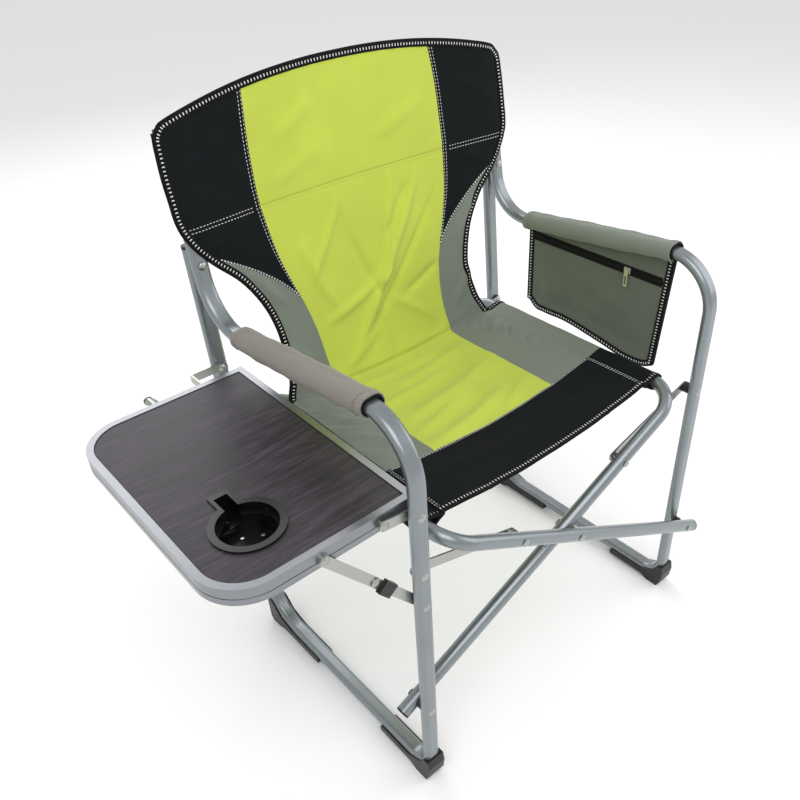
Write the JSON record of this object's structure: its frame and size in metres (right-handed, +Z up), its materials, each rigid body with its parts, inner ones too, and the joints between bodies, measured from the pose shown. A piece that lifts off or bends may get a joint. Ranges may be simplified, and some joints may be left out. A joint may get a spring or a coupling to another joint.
{
  "type": "folding camp chair",
  "caption": "Director's style folding chair with tube side frames, scissor cross members, sewn sling, padded armrests, zipped arm pocket and fold-down side table with cup holder.",
  "frame": {"origin": "on the floor, midway between the two side frames and between the front and rear legs", "axes": "+Z up, -Y is the front of the chair, -X is the side with the table"},
  "size_m": [0.8875, 0.5723, 0.9546],
  "materials": {
    "frame_paint": "satin silver-grey paint",
    "zinc": "zinc-plated steel",
    "black_plastic": "moulded black plastic",
    "gasket": "black edge strip",
    "aluminium": "satin aluminium profile",
    "wood": "dark wood-grain laminate",
    "sling_black": "black woven polyester",
    "sling_lime": "lime green woven polyester",
    "sling_grey": "grey-green woven polyester",
    "taupe_fabric": "taupe woven polyester, padded",
    "zip_tape": "black zip tape",
    "zip_metal": "plated zip metal"
  },
  "bodies": {
    "left_frame": {"left_tube": "frame_paint", "left_tube_plugs": "black_plastic", "left_leg_cap": "black_plastic", "left_front_foot": "black_plastic", "left_rear_foot": "black_plastic", "left_pivot_pins": "zinc", "left_spacers": "black_plastic", "left_hinge_plates": "zinc", "left_arm_sleeve": "taupe_fabric", "left_back_sleeve": "sling_black"},
    "right_cross": {"right_member": "frame_paint", "right_member_caps": "black_plastic", "right_member_rivets": "zinc", "right_seat_sleeve": "sling_grey"},
    "left_cross": {"left_member": "frame_paint", "left_member_caps": "black_plastic", "left_member_rivets": "zinc", "left_seat_sleeve": "sling_grey"},
    "right_frame": {"right_tube": "frame_paint", "right_tube_plugs": "black_plastic", "right_leg_cap": "black_plastic", "right_front_foot": "black_plastic", "right_rear_foot": "black_plastic", "right_pivot_pins": "zinc", "right_spacers": "black_plastic", "right_arm_sleeve": "sling_grey", "right_back_sleeve": "sling_black", "pocket": "sling_grey", "pocket_zip": "zip_tape"},
    "zip_slider": {"zip_slider": "zip_metal"},
    "zip_puller": {"zip_puller": "zip_metal"},
    "front_left_link": {"front_left_link": "zinc"},
    "front_right_link": {"front_right_link": "zinc"},
    "rear_left_link": {"rear_left_link": "zinc"},
    "rear_right_link": {"rear_right_link": "zinc"},
    "seat_left": {"seat_left": "sling_lime"},
    "seat_right": {"seat_right": "sling_lime"},
    "back_left": {"back_left": "sling_black"},
    "back_right": {"back_right": "sling_black"},
    "table": {"table_board": "wood", "table_gasket": "gasket", "table_edge": "aluminium", "table_rivets": "zinc", "cup_holder": "black_plastic"},
    "front_lower_strut": {"front_lower_strut": "zinc"},
    "rear_lower_strut": {"rear_lower_strut": "zinc"},
    "front_upper_strut": {"front_upper_strut": "zinc"},
    "rear_upper_strut": {"rear_upper_strut": "zinc"},
    "front_strut_lock": {"front_strut_lock": "black_plastic"},
    "rear_strut_lock": {"rear_strut_lock": "black_plastic"}
  },
  "joints": [
    {"name": "fold", "type": "hinge", "parent": "left_frame", "child": "right_cross", "pos_m": [-0.3, 0, 0.166], "axis": [0, -1, 0], "range_deg": [0, 44.2]},
    {"name": "cross_pivot", "type": "hinge", "parent": "right_cross", "child": "left_cross", "pos_m": [0, 0, 0.33093], "axis": [0, 1, 0], "range_deg": [0, 88.4]},
    {"name": "right_leg_pivot", "type": "hinge", "parent": "left_cross", "child": "right_frame", "pos_m": [0.3, 0, 0.166], "axis": [0, -1, 0], "range_deg": [0, 44.2]},
    {"name": "front_left_link_pivot", "type": "hinge", "parent": "left_frame", "child": "front_left_link", "pos_m": [-0.3, 0, 0.45062], "axis": [0, -1, 0], "range_deg": [0, 87.81]},
    {"name": "rear_left_link_pivot", "type": "hinge", "parent": "left_frame", "child": "rear_left_link", "pos_m": [-0.3, 0, 0.45062], "axis": [0, -1, 0], "range_deg": [0, 87.81]},
    {"name": "front_right_link_pivot", "type": "hinge", "parent": "right_frame", "child": "front_right_link", "pos_m": [0.3, 0, 0.45062], "axis": [0, 1, 0], "range_deg": [0, 87.81]},
    {"name": "rear_right_link_pivot", "type": "hinge", "parent": "right_frame", "child": "rear_right_link", "pos_m": [0.3, 0, 0.45062], "axis": [0, 1, 0], "range_deg": [0, 87.81]},
    {"name": "seat_left_fold", "type": "hinge", "parent": "left_cross", "child": "seat_left", "pos_m": [-0.252, 0, 0.46947], "axis": [0, 1, 0], "range_deg": [0, 28.8]},
    {"name": "seat_right_fold", "type": "hinge", "parent": "right_cross", "child": "seat_right", "pos_m": [0.252, 0, 0.46947], "axis": [0, -1, 0], "range_deg": [0, 28.8]},
    {"name": "back_left_fold", "type": "hinge", "parent": "left_frame", "child": "back_left", "pos_m": [-0.3, 0.23361, 0.6322], "axis": [0, 0.153, 0.9882], "range_deg": [0, 70]},
    {"name": "back_right_fold", "type": "hinge", "parent": "right_frame", "child": "back_right", "pos_m": [0.3, 0.23361, 0.6322], "axis": [0, -0.153, -0.9882], "range_deg": [0, 70]},
    {"name": "table_hinge", "type": "hinge", "parent": "left_frame", "child": "table", "pos_m": [-0.344, 0, 0.556], "axis": [0, -1, 0], "range_deg": [0, 90]},
    {"name": "front_lower_strut_pivot", "type": "hinge", "parent": "left_frame", "child": "front_lower_strut", "pos_m": [-0.3, 0, 0.393], "axis": [0, -1, 0], "range_deg": [0, 56.76]},
    {"name": "front_upper_strut_pivot", "type": "hinge", "parent": "table", "child": "front_upper_strut", "pos_m": [-0.429, 0, 0.556], "axis": [0, 1, 0], "range_deg": [0, 162.22]},
    {"name": "front_strut_lock_slide", "type": "slide", "parent": "front_lower_strut", "child": "front_strut_lock", "axis": [0.6206, 0, -0.7841], "range_m": [0, 0.025]},
    {"name": "rear_lower_strut_pivot", "type": "hinge", "parent": "left_frame", "child": "rear_lower_strut", "pos_m": [-0.3, 0, 0.393], "axis": [0, -1, 0], "range_deg": [0, 56.76]},
    {"name": "rear_upper_strut_pivot", "type": "hinge", "parent": "table", "child": "rear_upper_strut", "pos_m": [-0.429, 0, 0.556], "axis": [0, 1, 0], "range_deg": [0, 162.22]},
    {"name": "rear_strut_lock_slide", "type": "slide", "parent": "rear_lower_strut", "child": "rear_strut_lock", "axis": [0.6206, 0, -0.7841], "range_m": [0, 0.025]},
    {"name": "zip_slide", "type": "slide", "parent": "right_frame", "child": "zip_slider", "axis": [0, 1, 0], "range_m": [-0.06, 0.19]},
    {"name": "zip_puller_swing", "type": "hinge", "parent": "zip_slider", "child": "zip_puller", "pos_m": [0.2913, -0.066, 0.618], "axis": [1, 0, 0], "range_deg": [-90, 90]}
  ],
  "couplings": [
    {"joint": "cross_pivot", "follows": "fold", "ratio": 2},
    {"joint": "right_leg_pivot", "follows": "fold", "ratio": 1},
    {"joint": "front_left_link_pivot", "follows": "fold", "ratio": 1.9867},
    {"joint": "rear_left_link_pivot", "follows": "fold", "ratio": 1.9867},
    {"joint": "front_right_link_pivot", "follows": "fold", "ratio": 1.9867},
    {"joint": "rear_right_link_pivot", "follows": "fold", "ratio": 1.9867},
    {"joint": "seat_left_fold", "follows": "fold", "ratio": 0.65158},
    {"joint": "seat_right_fold", "follows": "fold", "ratio": 0.65158},
    {"joint": "back_left_fold", "follows": "fold", "ratio": 1.5837},
    {"joint": "back_right_fold", "follows": "fold", "ratio": 1.5837},
    {"joint": "front_lower_strut_pivot", "follows": "table_hinge", "ratio": 0.63062},
    {"joint": "front_upper_strut_pivot", "follows": "table_hinge", "ratio": 1.8024},
    {"joint": "rear_lower_strut_pivot", "follows": "table_hinge", "ratio": 0.63062},
    {"joint": "rear_upper_strut_pivot", "follows": "table_hinge", "ratio": 1.8024}
  ]
}
